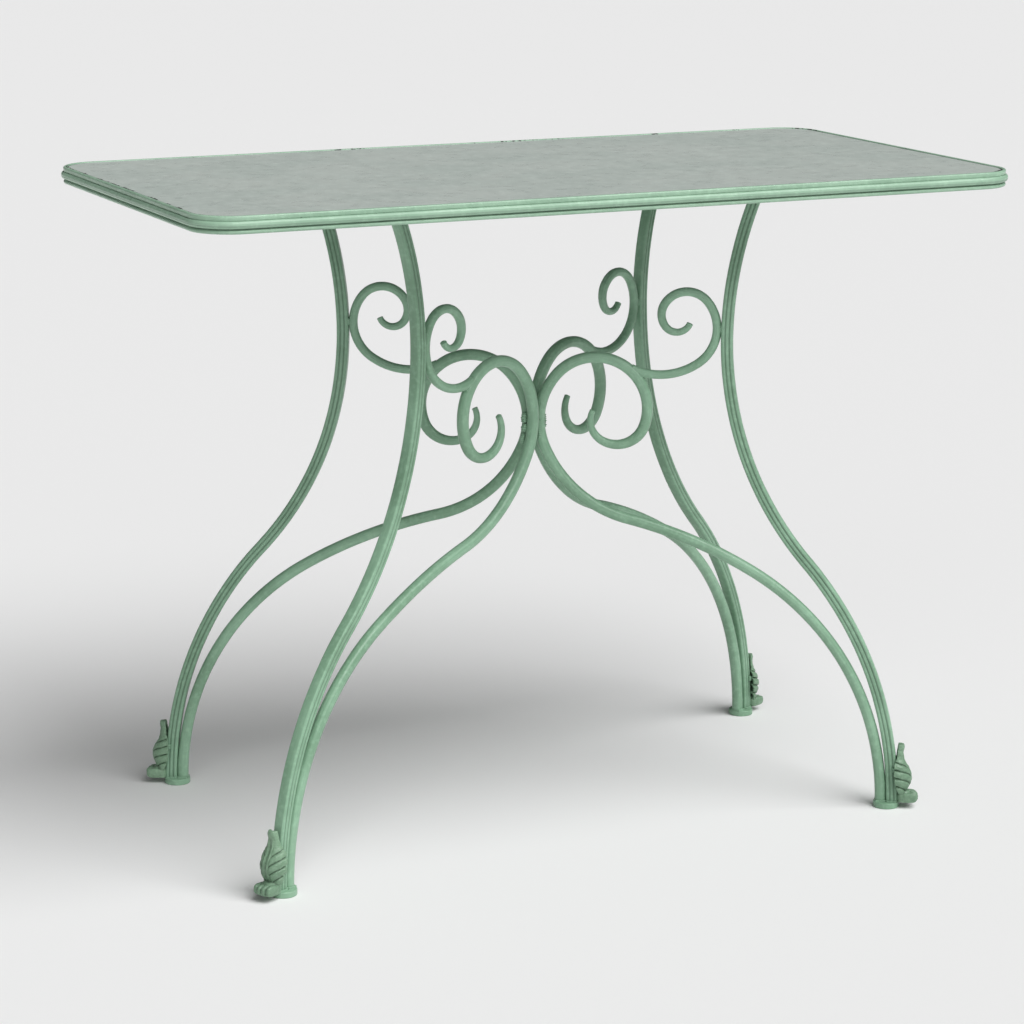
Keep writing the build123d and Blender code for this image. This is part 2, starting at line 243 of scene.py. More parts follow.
# each paint: its lighter and darker tone, its roughness, where it begins to chip, and its grain
# the panel's pale grey tones carry a painted reflection of the bright room
panel_paint = sage_paint("panel_paint", (0.56, 0.615, 0.575, 1), (0.51, 0.575, 0.535, 1), 0.27, 0.46, 0.22)

insets = [LIP_SETBACK + LIP_WIDTH + SEAT_GAP + inset * MM for inset, drop in PANEL_ROLL]
drops = [drop * MM for inset, drop in PANEL_ROLL]
while insets[-1] < TOP_WIDTH / 2 - 16 * MM:
    insets.append(insets[-1] + PANEL_RING_STEP)
    drops.append(0.0)
insets.append(TOP_WIDTH / 2 - 0.5 * MM)
drops.append(0.0)
panel_top = TOP_HEIGHT - PANEL_DROP + PANEL_RISE
points = []
shade_and_grime = []
wear = []
ring_size = len(outline(insets[0]))
for x, y, nx, ny in outline(insets[0]):
    points.append((x, y, panel_top - PANEL_RISE - PANEL_THICKNESS))
    # the underside ring takes the full painted shade, so the sheet's underside comes out almost black
    shade_and_grime.append(1.0)
    wear.append(0.0)
for inset, drop in zip(insets, drops):
    depth_in = inset - insets[0]
    for x, y, nx, ny in outline(inset):
        drum = noise.noise(Vector((x * 5, y * 7, 3.0))) * PANEL_DRUM * min(1.0, depth_in / DRUM_FADE)
        points.append((x, y, panel_top - drop + drum))
        # the sheet is painted darker towards its joint with the lip: painted shade in the joint, with some
        # grime
        shade_and_grime.append(max(0.0, 1 - depth_in / JOINT_SHADE_WIDTH))
        near_edge = max(0.0, min(1.0, (CHIPPED_EDGE - depth_in) / CHIPPED_FADE))
        patchy = 0.72 + noise.noise(Vector((x * 34, y * 34, 1.0)))
        patchy += 0.15 if ny < -0.5 or nx < -0.5 else -0.1      # the front and the left are knocked most
        wear.append(near_edge * max(0.0, min(1.0, patchy)) + PANEL_WEAR)
faces = strips(len(insets) + 1, ring_size)
last = len(insets) * ring_size
faces.append(tuple(last + k for k in range(ring_size)))
faces.append(tuple(reversed(range(ring_size))))
no_brush_marks = [(0, 0, 0)] * len(points)
top_panel = surface("sheet_top", points, faces, shade_and_grime, wear, no_brush_marks)
top_panel.data.materials.append(panel_paint)
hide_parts("top_panel")

# ---------------------------------------------------------------- moulded rim
# The rim is one rolled moulding bent round the sheet: a lip, a wide half-round bead with a faint
# crease, a deep groove and a narrow bead below. The paint has chipped along the lip's inner edge.
rim_paint = sage_paint("rim_paint", (0.36, 0.54, 0.40, 1), (0.28, 0.445, 0.32, 1), 0.27, 0.42, 0.45)


def arc_points(centre_in, centre_z, radius, start, end, steps):
    """Points of an arc in the rim's section, in mm: inwards from the outermost line, and down."""
    found = []
    for step in range(steps + 1):
        a = math.radians(start + (end - start) * step / steps)
        found.append((centre_in - radius * math.cos(a), centre_z + radius * math.sin(a)))
    return found


LIP_CHIPS_IN = 6.3              # where the rim is worn and where it is painted dark as shade and grime, in mm in and down
SHEET_JOINT_IN = 7.6
LIP_SEAM_DOWN = 5.75
LIP_RIDGE_DOWN = 5.4
CREASE_DOWN = 10.75
GROOVE_DOWN = 14.3
RIM_WEAR = 0.35
RIM_WAVER = 0.12
profile = [(14.0, -3.6), (7.75, -3.6), (7.6, -3.0)]
profile += arc_points(5.9, -1.7, 1.7, 180, 90, 6)
profile += arc_points(4.5, -1.9, 1.9, 90, 0, 7)
profile += [(2.62, -3.0), (2.75, -4.1)]
profile += arc_points(4.3, -4.5, 1.5, -5, -60, 4)
profile += arc_points(3.7, -9.15, 3.7, 78, 10, 8)
profile += [(0.0, -9.3), (0.02, -10.2), (0.22, -10.75), (0.12, -11.2)]
profile += arc_points(3.5, -10.4, 3.3, -15, -88, 6)
profile += [(4.6, -13.9), (5.0, -14.3), (4.7, -14.8)]
profile += arc_points(4.8, -17.2, 2.2, 80, -88, 12)
profile += [(9.5, -20.0), (14.0, -20.0)]
rim_places = outline(0.0)
points = []
shade_and_grime = []
wear = []
run = []
length = 0.0
for k, (x, y, nx, ny) in enumerate(rim_places):
    if k:
        length += math.dist((x, y), rim_places[k - 1][:2])
    waver = noise.noise(Vector((x * 9, y * 9, 0.5))) * RIM_WAVER
    for inwards, down in profile:
        give = waver if down > -19.5 and inwards < 8 else 0.0
        d = (inwards + max(give, -inwards)) * MM
        points.append((x - nx * d, y - ny * d, TOP_HEIGHT + down * MM))
        # the groove, the seam under the lip, the crease and the sheet's joint are painted dark: painted shade,
        # with some grime
        groove = max(0.0, 1 - abs(down + GROOVE_DOWN)) if inwards > 3.4 else 0.0
        seam = max(0.0, 1 - abs(down + LIP_SEAM_DOWN) / 0.6) * 0.45 if inwards > 2.2 else 0.0
        crease = max(0.0, 1 - abs(down + CREASE_DOWN) / 0.35) * 0.45 if inwards < 0.4 else 0.0
        joint = max(0.0, 1 - abs(inwards - SHEET_JOINT_IN) / 0.4) * (1.0 if down < -1.2 else 0.2)
        shade_and_grime.append(max(groove, seam, crease, joint))
        chips = max(0.0, min(1.0, 2.4 - abs(inwards - LIP_CHIPS_IN) / 0.9)) if down > -2.5 else 0.0
        chips *= max(0.3, min(1.25, 0.8 + 1.3 * noise.noise(Vector((x * 21, y * 21, 2.0)))))
        ridge = 0.72 * max(0.0, 1 - abs(down + LIP_RIDGE_DOWN) / 1.5) if 1.4 < inwards < 7 else 0.0
        front_or_left = 1.0 if (ny < -0.5 or nx < -0.5) else 0.82
        wear.append(max(max(chips, ridge) * front_or_left, RIM_WEAR))
        run.append((length, inwards * MM, down * MM))
# the sweep closes on itself, ring by ring and across the inner face
faces = strips(len(rim_places), len(profile))
last = (len(rim_places) - 1) * len(profile)
faces += [(last + k, last + (k + 1) % len(profile), (k + 1) % len(profile), k) for k in range(len(profile))]
top_rim = surface("rim_moulding", points, faces, shade_and_grime, wear, run)
top_rim.data.materials.append(rim_paint)
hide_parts("top_rim")

# ---------------------------------------------------------------- battens, plates and screws
# Two flat bars cross under the sheet, and each leg has a small plate welded on its top end, held
# to the bars by pan-head screws. All of it is painted with the frame.
frame_paint = sage_paint("frame_paint", (0.285, 0.475, 0.33, 1), (0.19, 0.335, 0.22, 1), 0.29, 0.56, 0.6)
CORNERS = ("front_right", "back_left", "front_left", "back_right")
for node in ["batten_left", "batten_right"] + ["leg_plate_" + name for name in CORNERS]:
    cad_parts[node].data.materials.clear()
    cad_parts[node].data.materials.append(frame_paint)
screw_paint = sage_paint("screw_paint", (0.20, 0.32, 0.22, 1), (0.14, 0.21, 0.155, 1), 0.42, 0.5, 0.8)
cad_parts["leg_screws"].data.materials.clear()
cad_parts["leg_screws"].data.materials.append(screw_paint)

# ---------------------------------------------------------------- outer legs
# Four square bars with three reeds rolled into each side face, bent in to a waist and out again.
# They were bent by hand, so the line and the thickness wander a little. The reeds are painted dark: painted
# shade, with some pooled paint.

# In mm and degrees: a leg is where its foot stands, its lower arcs (radius, turn) and its upper radius,
# an inner bar is where its foot stands and its arcs, and a small scroll is its start, heading and arcs.
FIRST_PAIR = {
    "outwards": 0.4,
    "sideways": 0.0,
    "leg": (430.5, [(445.0, 40.6), (409.0, -40.6)], 471.0),
    "inner": (417.0, [(324.0, 59.0), (534.0, 17.2), (145.2, -53.5), (83.6, -63.5), (60.6, -158.7)]),
    "small": ((113.6, 526.0), -24.7, [(78.9, 59.4), (50.2, 95.2), (30.5, 111.1)]),
}
SECOND_PAIR = {
    "outwards": 5.1,
    "sideways": 7.5,
    "leg": (451.5, [(383.0, 45.4), (420.0, -45.4)], 344.0),
    "inner": (437.0, [(304.0, 60.8), (707.0, 13.2), (192.2, -45.6), (82.8, -72.0), (61.6, -166.1)]),
    "small": ((117.5, 527.9), -23.3, [(63.0, 59.9), (50.0, 87.0), (30.9, 111.2)]),
}
BACK_LEFT_LEG = FIRST_PAIR | {
    "leg": (441.5, [(428.0, 42.6), (391.8, -42.6)], 471.0),
    "inner": (428.0, [(317.2, 59.0), (585.3, 17.2), (145.2, -53.5), (83.6, -63.5), (60.6, -158.7)]),
}
FRAMES = {
    "front_right": (-29.6, FIRST_PAIR),
    "back_left": (148.2, BACK_LEFT_LEG),
    "front_left": (206.3, SECOND_PAIR),
    "back_right": (26.3, SECOND_PAIR),
}
FOOT_HEIGHT = 7.0
PLATE_UNDERSIDE = 746.4
LEG_SIZE = 14.0
LEG_CORNER = 2.6
REED_PLACES = (-2.4, 2.4)
REED_DEPTH = 1.05
REED_HALF_WIDTH = 1.35
CROWN = 0.3                     # the smooth faces are slightly round
SCRAPE = (258.0, 278.0)         # where the front left leg was knocked, in mm along it from its foot
SCRAPE_FACE = 52                # the section's points after this one are the face that was knocked
SCRAPE_WEAR = 1.15
BAR_WEAR = 0.42
BAR_DENT = 0.05
DENT_LENGTH = 6
BAR_UNEVEN = 0.012
UNEVEN_LENGTH = 45
WANDER_LENGTH = 130
HELD_LENGTH = 40                # a bar keeps its line this close to its ends
SAW_CUT = 6                     # a leg runs this much on, and is cut level under its plate
RING_STEP = 2.5
TIP_ROUNDING = [(0.25, 1.03), (0.6, 1.02), (0.95, 0.95), (1.15, 0.8), (1.25, 0.5)]   # ahead in mm, and size


def in_frame(name, r, sideways, z):
    """A point of a leg frame, given in mm outwards, sideways and up, on the table in metres."""
    azimuth, pair = FRAMES[name]
    a = math.radians(azimuth)
    r += pair["outwards"]
    sideways += pair["sideways"]
    x = r * math.cos(a) - sideways * math.sin(a)
    y = r * math.sin(a) + sideways * math.cos(a)
    return (x * MM, y * MM, z * MM)


def bend(start, heading, arcs, step=RING_STEP):
    """Walk along tangent arcs: (r, z, heading in radians, distance walked) at each step."""
    r, z = start
    h = math.radians(heading)
    walked = 0.0
    stops = [(r, z, h, walked)]
    for radius, turn in arcs:
        t = math.radians(turn)
        side = 1 if turn > 0 else -1
        centre = (r - side * radius * math.sin(h), z + side * radius * math.cos(h))
        count = max(3, int(abs(t) * radius / step))
        for k in range(1, count + 1):
            a = h + t * k / count
            point = (centre[0] + side * radius * math.sin(a), centre[1] - side * radius * math.cos(a))
            stops.append((point[0], point[1], a, walked + abs(t) * radius * k / count))
        r, z, h, walked = stops[-1]
    return stops


def square_section(size, corner, crown, reeded):
    """Section points (outwards, sideways, groove) of a bar with rounded corners, in mm."""
    half = size / 2
    flat = half - corner
    points = []
    for quarter in range(4):
        c = math.cos(math.radians(90 * quarter))
        s = math.sin(math.radians(90 * quarter))
        is_reeded = reeded and quarter % 2 == 1
        steps = 16 if is_reeded else 6
        for k in range(steps):
            t = -flat + 2 * flat * k / steps
            groove = 0.0
            if is_reeded:
                for place in REED_PLACES:
                    near = max(0.0, 1 - abs(t - place) / REED_HALF_WIDTH)
                    groove = max(groove, near * near * (3 - 2 * near))
                out = half - groove * REED_DEPTH
            else:
                out = half + crown * (1 - (t / flat) ** 2)
            points.append((out * c - t * s, out * s + t * c, groove))
        for k in range(6):
            a = math.radians(90 * k / 6)
            u = flat + corner * math.cos(a)
            v = flat + corner * math.sin(a)
            points.append((u * c - v * s, u * s + v * c, 0.0))
    return points


def bar(piece_name, name, stops, section, scale, seed, domed, wander=0.35, wear_at=None, end_plane=None):
    """Sweep a section along a bent line; scale is a function of the share of the length walked."""
    total = stops[-1][3]
    rings = []
    for r, z, h, walked in stops:
        share = walked / total
        loose = min(1.0, walked / HELD_LENGTH, (total - walked) / HELD_LENGTH)
        thick = scale(share) * (1 + BAR_UNEVEN * noise.noise(Vector((walked / UNEVEN_LENGTH, seed, 0))))
        drift = wander * loose * noise.noise(Vector((walked / WANDER_LENGTH, seed, 5)))
        drift_side = wander * loose * noise.noise(Vector((walked / WANDER_LENGTH, seed, 9)))
        rings.append((r, z, h, walked, thick, drift, drift_side))
    if domed:
        r, z, h, walked, thick, drift, drift_side = rings[-1]
        for ahead, share in TIP_ROUNDING:
            step = (r + ahead * math.cos(h), z + ahead * math.sin(h), h, walked + ahead)
            rings.append(step + (thick * share, drift, drift_side))
    points, shade_and_grime, wear, run = [], [], [], []
    for r, z, h, walked, thick, drift, drift_side in rings:
        ux, uz = math.sin(h), -math.cos(h)
        for k, (out, side, groove) in enumerate(section):
            dent = BAR_DENT * noise.noise(Vector((walked / DENT_LENGTH, out / 4 + seed, side / 4)))
            o = (out + dent) * thick + drift
            s = side * thick + drift_side
            pr, pz = r + ux * o, z + uz * o
            if end_plane is not None:
                pz = min(pz, end_plane)
            points.append(in_frame(name, pr, s, pz))
            # the reeds are painted darker: painted shade, with some pooled paint
            shade_and_grime.append(groove * 0.6)
            wear.append(wear_at(walked, k) if wear_at else BAR_WEAR)
            run.append((walked * MM, k / len(section) * 0.05, seed * 0.1))
    size = len(section)
    faces = strips(len(rings), size)
    faces.append(tuple(reversed(range(size))))
    faces.append(tuple((len(rings) - 1) * size + k for k in range(size)))
    piece = surface(piece_name, points, faces, shade_and_grime, wear, run)
    piece.data.materials.append(frame_paint)
    return piece


leg_section = square_section(LEG_SIZE, LEG_CORNER, CROWN, True)
for number, name in enumerate(CORNERS):
    pair = FRAMES[name][1]
    foot_r, lower_arcs, upper_radius = pair["leg"]
    waist = bend((foot_r, FOOT_HEIGHT), 90, lower_arcs)[-1]
    upper_turn = math.degrees(math.asin((PLATE_UNDERSIDE - waist[1]) / upper_radius))
    stops = bend((foot_r, FOOT_HEIGHT), 90, lower_arcs + [(upper_radius, -upper_turn)])
    r, z, h, walked = stops[-1]
    stops.append((r + SAW_CUT * math.cos(h), z + SAW_CUT * math.sin(h), h, walked + SAW_CUT))
    low, high = SCRAPE if name == "front_left" else (0.0, 0.0)
    leg = bar("reeded_leg_" + name, name, stops, leg_section, lambda share: 1.0, number + 1.0, False,
              wear_at=lambda walked, k: SCRAPE_WEAR if low < walked < high and k > SCRAPE_FACE else BAR_WEAR,
              end_plane=PLATE_UNDERSIDE)
    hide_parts("outer_leg_" + name)

# ---------------------------------------------------------------- inner bars and large scrolls
# A plain round-cornered bar runs from each foot up to the middle, turns over and ends in a large
# scroll, drawn thinner over its last half turn to a blunt tip.
INNER_SIZE = 12.5
INNER_CORNER = 4.6
INNER_CROWN = 0.35
INNER_CURL = [(34.5, -101.0), (27.0, -84.0)]
INNER_TIP = 0.52


def drawn_out(start, tip):
    """Thickness that stays whole up to a share of the length, then falls to the tip."""
    return lambda share: 1.0 if share < start else 1.0 + (tip - 1.0) * ((share - start) / (1 - start)) ** 1.3


def arc_length(arcs):
    """Length of a chain of arcs in mm."""
    return sum(radius * math.radians(abs(turn)) for radius, turn in arcs)


inner_section = square_section(INNER_SIZE, INNER_CORNER, INNER_CROWN, False)
for number, name in enumerate(CORNERS):
    foot_r, arcs = FRAMES[name][1]["inner"]
    stops = bend((foot_r, FOOT_HEIGHT), 90, arcs + INNER_CURL)
    taper = drawn_out(1 - arc_length(INNER_CURL) / stops[-1][3], INNER_TIP)
    scroll = bar("scroll_bar_" + name, name, stops, inner_section, taper, number + 11.0, True, wander=0.3)
    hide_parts("inner_bar_" + name)

# ---------------------------------------------------------------- small scrolls
# A thinner bar springs from the top of each large scroll, touches the waist of the leg and curls
# over inwards.
SMALL_SIZE = 9.8
SMALL_CORNER = 3.7
SMALL_CROWN = 0.3
SMALL_CURL = [(23.7, 64.5), (16.5, 120.0)]
SMALL_TIP = 0.72
SMALL_STEP = 1.8

small_section = square_section(SMALL_SIZE, SMALL_CORNER, SMALL_CROWN, False)
for number, name in enumerate(CORNERS):
    start_point, heading, arcs = FRAMES[name][1]["small"]
    stops = bend(start_point, heading, arcs + SMALL_CURL, SMALL_STEP)
    taper = drawn_out(1 - arc_length(SMALL_CURL) / stops[-1][3], SMALL_TIP)
    scroll = bar("small_curl_" + name, name, stops, small_section, taper, number + 21.0, True, wander=0.2)
    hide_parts("small_scroll_" + name)

# ---------------------------------------------------------------- foot discs
# A turned disc under each pair of bars, and the puddled weld round the bars' ends.
for name in CORNERS:
    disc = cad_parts["foot_disc_" + name]
    disc.data.materials.clear()
    disc.data.materials.append(frame_paint)


FOOT_WELD = 1.3
FOOT_WELD_LIFT = 0.2
BEAD_STEP = 0.5
BEAD_RIPPLE_LENGTH = 2.3
BEAD_AROUND = 12
BEAD_WEAR = 0.4


def weld_bead(piece_name, name, path, radius, ripple, seed):
    """A rippled bead along points given in mm in a leg frame: (outwards, sideways, up)."""
    samples = []
    for a, b in zip(path, path[1:]):
        count = max(2, int(math.dist(a, b) / BEAD_STEP))
        samples += [tuple(p + (q - p) * k / count for p, q in zip(a, b)) for k in range(count)]
    samples.append(path[-1])
    points, shade_and_grime, wear, run = [], [], [], []
    for k, point in enumerate(samples):
        before = Vector(samples[max(0, k - 1)])
        after = Vector(samples[min(len(samples) - 1, k + 1)])
        ahead = (after - before).normalized()
        side = ahead.orthogonal().normalized()
        other = ahead.cross(side)
        end = min(k, len(samples) - 1 - k) * BEAD_STEP / radius
        fat = radius * math.sqrt(max(0.02, min(1.0, end * (2 - min(end, 1.0)))))
        crest = abs(math.sin(k * BEAD_STEP * math.pi / BEAD_RIPPLE_LENGTH))
        wave = 1 + ripple * crest + 0.16 * noise.noise(Vector((k / 5, seed, 0)))
        for j in range(BEAD_AROUND):
            a = 2 * math.pi * j / BEAD_AROUND
            c = math.cos(a)
            s = math.sin(a)
            uneven = 1 + 0.14 * noise.noise(Vector((k / 4, c * 1.5 + seed, s * 1.5)))
            p = Vector(point) + (side * c + other * s) * (fat * wave * uneven)
            points.append(in_frame(name, p.x, p.y, p.z))
            # the hollows between ripples are painted darker: painted shade
            shade_and_grime.append(0.35 * (1 - crest))
            wear.append(BEAD_WEAR)
            run.append((k * BEAD_STEP * MM, j * MM, 0))
    faces = strips(len(samples), BEAD_AROUND)
    faces.append(tuple(reversed(range(BEAD_AROUND))))
    faces.append(tuple((len(samples) - 1) * BEAD_AROUND + j for j in range(BEAD_AROUND)))
    piece = surface(piece_name, points, faces, shade_and_grime, wear, run)
    piece.data.materials.append(frame_paint)
    return piece


for number, name in enumerate(CORNERS):
    pair = FRAMES[name][1]
    for label, r, half in (("leg", pair["leg"][0], LEG_SIZE / 2), ("bar", pair["inner"][0], INNER_SIZE / 2)):
        sides = [(1, 1), (1, -1), (-1, -1), (-1, 1), (1, 1)]
        loop = [(r + sx * half * 0.9, sy * half * 0.98, FOOT_HEIGHT + FOOT_WELD_LIFT) for sx, sy in sides]
        weld_bead("foot_weld_" + label + "_" + name, name, loop, FOOT_WELD, 0.15, number * 3.1 + half)

# ---------------------------------------------------------------- cast leaf and paw
# One casting stands on the outer side of each foot: a cupped leaf with a ribbed spine and lobed
# leaflets, its blunt tip standing clear of the leg, growing out of a paw with four toes. It is a
# sand casting, so its edges are soft and its skin is rough under the paint.
cast_paint = sage_paint("cast_paint", (0.24, 0.385, 0.255, 1), (0.15, 0.255, 0.165, 1), 0.30, 0.56, 1.3)
# the leaf's spine, its edges and its half width, each as (height, mm out from the leg) or (height, mm)
LEAF_FRONT = [(15, 14.5), (21, 17.0), (25, 19.6), (30, 21.8), (36, 23.0), (42, 22.4), (48, 19.8),
              (54.5, 15.6), (60, 13.4), (68, 12.6), (74.5, 14.0), (77.6, 13.4)]
LEAF_BACK = [(15, 8.5), (20, 6.5), (24, 4.4), (28, 2.0), (35, 1.6), (40, 0.8), (48, 0.8),
             (54, 1.2), (58, 2.4), (61, 4.4), (68, 5.0), (74, 6.0), (77.6, 6.6)]
LEAF_WIDTH = [(15, 9.0), (22, 11.5), (30, 13.6), (38, 14.6), (46, 14.4), (53, 12.8),
              (59, 9.8), (64, 7.8), (70, 6.6), (75, 6.2), (77.6, 5.6)]
LEAF_BOTTOM = 15.0
LEAF_TOP = 77.6
LEAF_THICKNESS = 2.6
LEAF_WRAP = 96                  # how far round the leaf reaches on each side, in degrees
LEAFLET_PITCH = 10.0            # leaflets lie one above the other, and climb away from the spine
LEAFLET_START = 4.0
LEAFLET_CLIMB = 8.5
LEAFLET_CURVE = 5.5
LEAFLET_SLOPE = 0.28
LEAFLET_DEPTH = 2.0
LEAFLET_GROOVE = 0.34
LEAFLETS_END = 60.0
LOBE_EDGE = 0.78                # share of the half width where the edge's lobes begin
LOBE_NOTCH = 0.45
LOBE_DEPTH = 0.20
SPINE_HALF = 3.4
RIB_HEIGHT = 0.9
RIB_WIDTH = 0.75


def between(table, z):
    """Value at a height, from (height, value) pairs."""
    for (z0, v0), (z1, v1) in zip(table, table[1:]):
        if z <= z1:
            return v0 + (v1 - v0) * max(0.0, (z - z0) / (z1 - z0))
    return table[-1][1]


def leaf_skin(rows=130, columns=80):
    """The leaf as a closed shell: points (out, sideways, up) in mm and faces."""
    outer, inner = [], []
    for row in range(rows + 1):
        z = LEAF_BOTTOM + (LEAF_TOP - LEAF_BOTTOM) * row / rows
        front, back, half = (between(table, z) for table in (LEAF_FRONT, LEAF_BACK, LEAF_WIDTH))
        fade = max(0.0, min(1.0, (LEAFLETS_END - z) / 4))
        for column in range(columns + 1):
            u = 2 * column / columns - 1
            a = u * math.radians(LEAF_WRAP)
            across = abs(u) * half * 1.4
            rise = LEAFLET_CLIMB * (1 - math.exp(-across / LEAFLET_CURVE)) + LEAFLET_SLOPE * across
            climb = (z - rise - LEAFLET_START) / LEAFLET_PITCH
            phase = climb - math.floor(climb)
            leafy = max(0.0, min(1.0, (across - SPINE_HALF) / 1.8)) * fade
            near = min(phase, 1 - phase) * 2
            groove = (1 - min(1.0, near / LEAFLET_GROOVE)) ** 1.3 * leafy
            swell = math.sin(math.pi * phase) ** 0.8 * leafy
            edge = max(0.0, abs(u) - LOBE_EDGE) / (1 - LOBE_EDGE)
            notch = (1 - min(1.0, near / LOBE_NOTCH)) * edge * fade
            ribs = math.exp(-((across - SPINE_HALF * 0.8) / RIB_WIDTH) ** 2)
            ribs -= 0.7 * math.exp(-(across / 0.9) ** 2)
            ribs *= RIB_HEIGHT * max(0.0, min(1.0, (72 - z) / 8)) * max(0.0, min(1.0, (z - 22) / 6))
            out = back + (front - back) * max(0.0, math.cos(a * 0.93)) ** 0.75
            side = half * math.sin(a * 0.93)
            facing = Vector((math.cos(a * 0.9), math.sin(a * 0.9), 0))
            push = -LEAFLET_DEPTH * groove + 1.0 * swell + ribs
            heart = back + (front - back) * 0.3
            shrink = 1 - LOBE_DEPTH * notch
            o = heart + (out - heart) * shrink + facing.x * push
            s = side * shrink + facing.y * push
            outer.append((o, s, z + 1.5 * notch))
            inner.append((o - facing.x * LEAF_THICKNESS, s - facing.y * LEAF_THICKNESS, z + 1.5 * notch))
    size = columns + 1
    skin = (rows + 1) * size
    faces = strips(rows + 1, size, False)
    faces += [tuple(reversed([skin + i for i in face])) for face in list(faces)]
    for row in range(rows):
        for edge, turn in ((0, 1), (columns, -1)):
            a, b = row * size + edge, (row + 1) * size + edge
            faces.append((a, b, skin + b, skin + a)[::turn])
    for column in range(columns):
        for row, turn in ((0, -1), (rows, 1)):
            a = row * size + column
            faces.append((a, a + 1, skin + a + 1, skin + a)[::turn])
    return outer + inner, faces


def lump(centre, half, power, steps=20):
    """A soft box or ball of half sizes in mm: points and faces. A low power makes it boxy."""
    points = [(centre[0], centre[1], centre[2] - half[2])]
    for row in range(1, steps):
        a = math.pi * row / steps - math.pi / 2
        for column in range(2 * steps):
            b = math.pi * column / steps
            c = (math.cos(a) * math.cos(b), math.cos(a) * math.sin(b), math.sin(a))
            reach = [h * math.copysign(abs(v) ** power, v) for h, v in zip(half, c)]
            points.append(tuple(m + d for m, d in zip(centre, reach)))
    points.append((centre[0], centre[1], centre[2] + half[2]))
    round_steps = 2 * steps
    faces = [tuple(1 + i for i in face) for face in strips(steps - 1, round_steps)]
    last = len(points) - 1
    for column in range(round_steps):
        after = (column + 1) % round_steps
        faces.append((0, 1 + after, 1 + column))
        faces.append((last, last - round_steps + column, last - round_steps + after))
    return points, faces


# lumps of the pattern: centre (out, sideways, up), half sizes in mm, and how round
PAW_LUMPS = [((15.0, 0.0, 13.4), (9.5, 11.4, 6.4), 0.62), ((14.0, 0.0, 17.0), (8.0, 9.0, 5.0), 0.8),
             ((17.5, 0.0, 9.2), (11.0, 11.8, 2.1), 0.45)]
LEAF_TIP = ((10.0, 0.0, 73.6), (3.9, 5.6, 4.2), 0.85)
TOE_SIDEWAYS = (-9.0, -3.05, 3.05, 9.0)
TOE_HALF = (9.2, 3.2, 5.9)
TOE_OUT = 22.2
TOE_UP = 13.0
TOE_ROUNDNESS = 0.68
TOE_FAN = 0.02                  # the outer toes lie further back
for sideways in TOE_SIDEWAYS:
    PAW_LUMPS.append(((TOE_OUT - TOE_FAN * sideways ** 2, sideways, TOE_UP), TOE_HALF, TOE_ROUNDNESS))
CAST_VOXEL = 0.5
CAST_SMOOTHING = 2
COARSE_SAND = 0.30              # how far the sand's marks stand up, in mm
FINE_SAND = 0.15
SHADED_HOLLOW = 0.11             # hollows this deep, in voxels, are painted fully dark: painted shade, with some pooled paint
WORN_CREST = 0.30


def casting_mesh(name, seed):
    """Run the leaf and the paw together as molten metal would, and roughen the skin."""
    points, faces = leaf_skin()
    for centre, half, power in PAW_LUMPS + [LEAF_TIP]:
        more, more_faces = lump(centre, half, power)
        faces += [tuple(len(points) + i for i in face) for face in more_faces]
        points += more
    pattern = bpy.data.meshes.new("pattern")
    pattern.from_pydata(points, [], faces)
    holder = bpy.data.objects.new("pattern", pattern)
    bpy.context.scene.collection.objects.link(holder)
    pour = holder.modifiers.new("pour", "REMESH")
    pour.mode = "VOXEL"
    pour.voxel_size = CAST_VOXEL
    soften = holder.modifiers.new("soften", "SMOOTH")
    soften.iterations = CAST_SMOOTHING
    poured = bpy.data.meshes.new_from_object(holder.evaluated_get(bpy.context.evaluated_depsgraph_get()))
    bpy.data.objects.remove(holder)
    count = len(poured.vertices)
    place = np.empty(count * 3, np.float32)
    poured.vertices.foreach_get("co", place)
    normal = np.empty(count * 3, np.float32)
    poured.vertices.foreach_get("normal", normal)
    place, normal = place.reshape(-1, 3), normal.reshape(-1, 3)
    ends = np.empty(len(poured.edges) * 2, np.int32)
    poured.edges.foreach_get("vertices", ends)
    a, b = ends.reshape(-1, 2).T
    rise = ((place[b] - place[a]) * normal[a]).sum(1)
    fall = ((place[a] - place[b]) * normal[b]).sum(1)
    neighbours = np.maximum(1, np.bincount(a, minlength=count) + np.bincount(b, minlength=count))
    hollow = (np.bincount(a, rise, count) + np.bincount(b, fall, count)) / neighbours
    for spread in range(3):
        total = np.bincount(a, hollow[b], count) + np.bincount(b, hollow[a], count)
        hollow = 0.4 * hollow + 0.6 * total / neighbours
    # the casting's hollows are painted dark: painted shade
    shade_and_grime = np.clip(hollow / (SHADED_HOLLOW * CAST_VOXEL), 0, 1)
    wear = np.clip(BAR_WEAR - hollow / (WORN_CREST * CAST_VOXEL), 0.3, 0.62)
    shift = Vector((seed * 9.0, 0, 0))
    coarse = np.array([noise.noise(Vector(p) / 2.4 + shift) for p in place], np.float32)
    fine = np.array([noise.noise(Vector(p) / 0.9) for p in place], np.float32)
    place = place + normal * (COARSE_SAND * coarse + FINE_SAND * fine)[:, None]
    foot_r = FRAMES[name][1]["leg"][0]
    points = [in_frame(name, foot_r + float(o), float(s), float(z)) for o, s, z in place]
    faces = [tuple(polygon.vertices) for polygon in poured.polygons]
    bpy.data.meshes.remove(poured)
    return points, faces, shade_and_grime, wear


for number, name in enumerate(CORNERS):
    points, faces, shade_and_grime, wear = casting_mesh(name, number)
    casting = surface("leaf_and_paw_" + name, points, faces, shade_and_grime, wear)
    casting.data.materials.append(cast_paint)
    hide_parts("leaf_paw_" + name)

